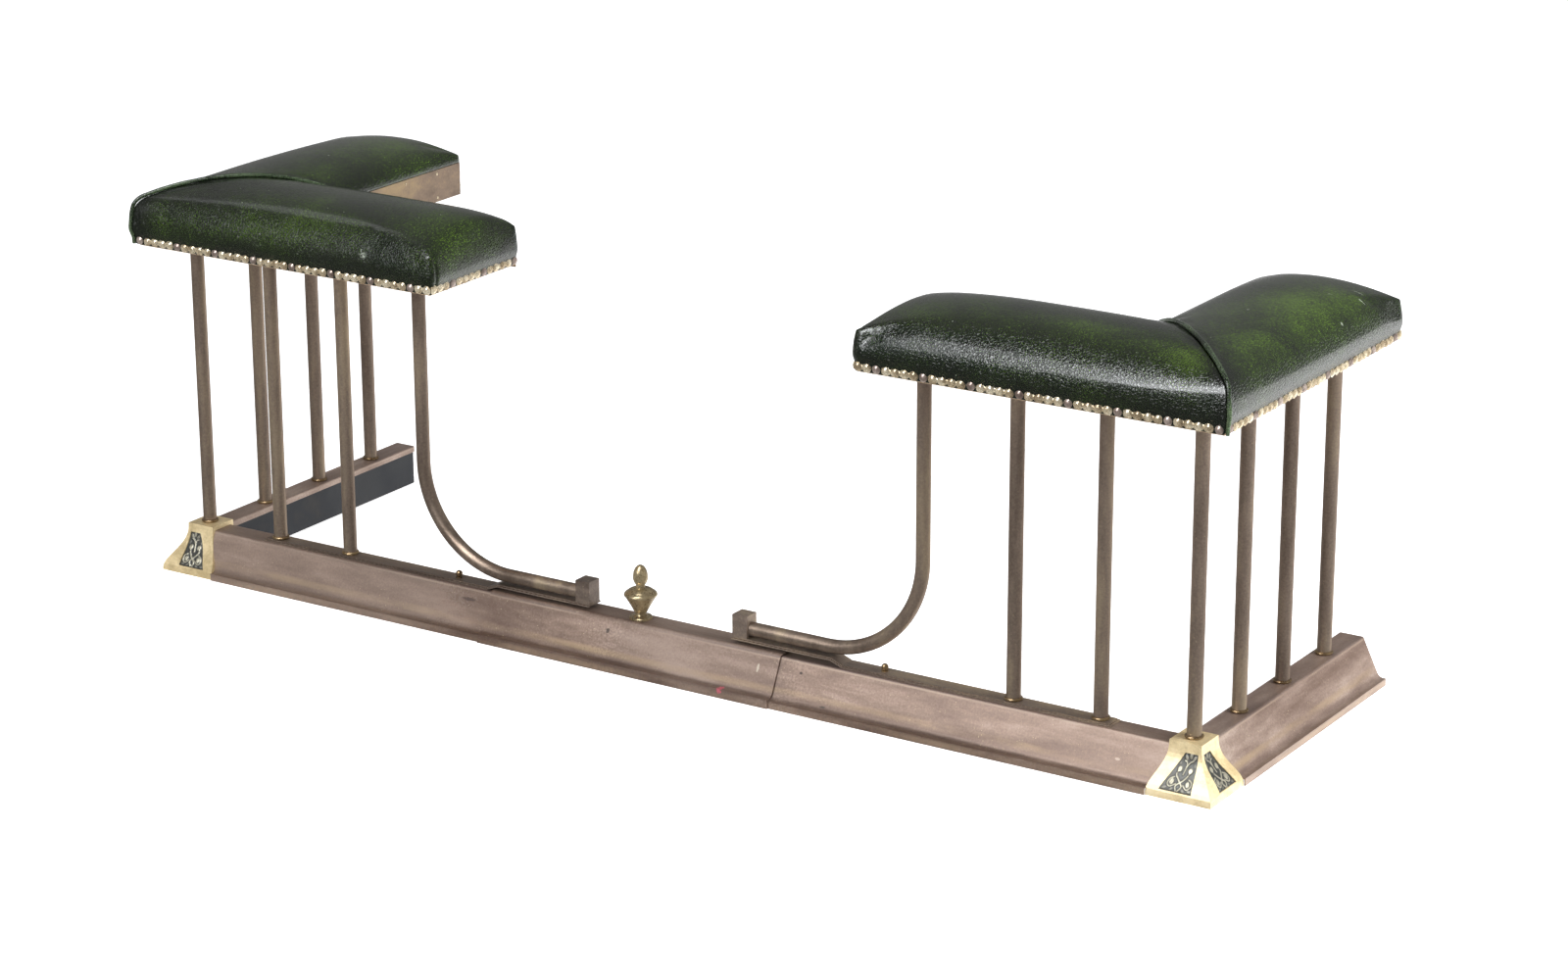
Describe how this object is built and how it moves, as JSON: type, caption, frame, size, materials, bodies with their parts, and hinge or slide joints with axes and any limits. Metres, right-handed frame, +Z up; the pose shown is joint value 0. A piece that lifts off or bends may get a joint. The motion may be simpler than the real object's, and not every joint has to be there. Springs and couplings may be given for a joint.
{
  "type": "club fender seat",
  "caption": "Extending brass hearth fender: moulded kerb with tubular posts carrying two L-shaped leather-padded seats that slide apart on a centre sleeve.",
  "frame": {"origin": "on the floor, below the middle of the closed outline", "axes": "+X along the hearth from the left seat to the right seat, +Y from the room towards the fire, +Z up"},
  "size_m": [1.4386, 0.4373, 0.485],
  "materials": {
    "moulding": "dull brown patina with speckles",
    "bronzed_tube": "satin bronzed tube",
    "bronzed_bar": "dull bronzed bar",
    "cast_brass": "worn cast brass",
    "bright_brass": "aged polished brass",
    "collar_brass": "rubbed brass",
    "nail_brass": "polished brass heads",
    "fascia_brass": "brown patina with worn patches",
    "black_iron": "matte black paint",
    "steel": "plain steel",
    "timber": "unfinished ply",
    "seat_leather": "glossy antiqued bottle green with pebble grain",
    "piping_leather": "glossy bottle green piping"
  },
  "bodies": {
    "centre": {"centre_sleeve": "moulding", "sleeve_back_plate": "black_iron", "sleeve_rivets": "black_iron", "finial": "bright_brass", "finial_nut": "steel"},
    "left_end": {"left_front_moulding": "moulding", "left_return_moulding": "moulding", "left_front_iron": "black_iron", "left_return_iron": "black_iron", "left_corner_block": "cast_brass", "left_corner_post": "bronzed_tube", "left_front_posts": "bronzed_tube", "left_return_posts": "bronzed_tube", "left_swept_post": "bronzed_tube", "left_post_collars": "collar_brass", "left_carrier_strip": "bronzed_bar", "left_end_socket": "bronzed_bar", "left_strip_screws": "collar_brass", "left_tie_rods": "steel", "left_tie_nuts": "steel", "left_tie_washers": "steel", "left_front_seat_bar": "black_iron", "left_return_seat_bar": "black_iron", "left_front_board": "timber", "left_return_board": "timber", "left_front_pad": "seat_leather", "left_return_pad": "seat_leather", "left_seat_piping": "piping_leather", "left_front_fascia": "fascia_brass", "left_return_fascia": "fascia_brass", "left_fascia_pins": "nail_brass", "left_nail_heads": "nail_brass"},
    "right_end": {"right_front_moulding": "moulding", "right_return_moulding": "moulding", "right_front_iron": "black_iron", "right_return_iron": "black_iron", "right_corner_block": "cast_brass", "right_corner_post": "bronzed_tube", "right_front_posts": "bronzed_tube", "right_return_posts": "bronzed_tube", "right_swept_post": "bronzed_tube", "right_post_collars": "collar_brass", "right_carrier_strip": "bronzed_bar", "right_end_socket": "bronzed_bar", "right_strip_screws": "collar_brass", "right_tie_rods": "steel", "right_tie_nuts": "steel", "right_tie_washers": "steel", "right_front_seat_bar": "black_iron", "right_return_seat_bar": "black_iron", "right_front_board": "timber", "right_return_board": "timber", "right_front_pad": "seat_leather", "right_return_pad": "seat_leather", "right_seat_piping": "piping_leather", "right_front_fascia": "fascia_brass", "right_return_fascia": "fascia_brass", "right_fascia_pins": "nail_brass", "right_nail_heads": "nail_brass"}
  },
  "joints": [
    {"name": "left_end_slide", "type": "slide", "parent": "centre", "child": "left_end", "axis": [-1, 0, 0], "range_m": [0, 0.118]},
    {"name": "right_end_slide", "type": "slide", "parent": "centre", "child": "right_end", "axis": [1, 0, 0], "range_m": [-0.062, 0.056]}
  ]
}
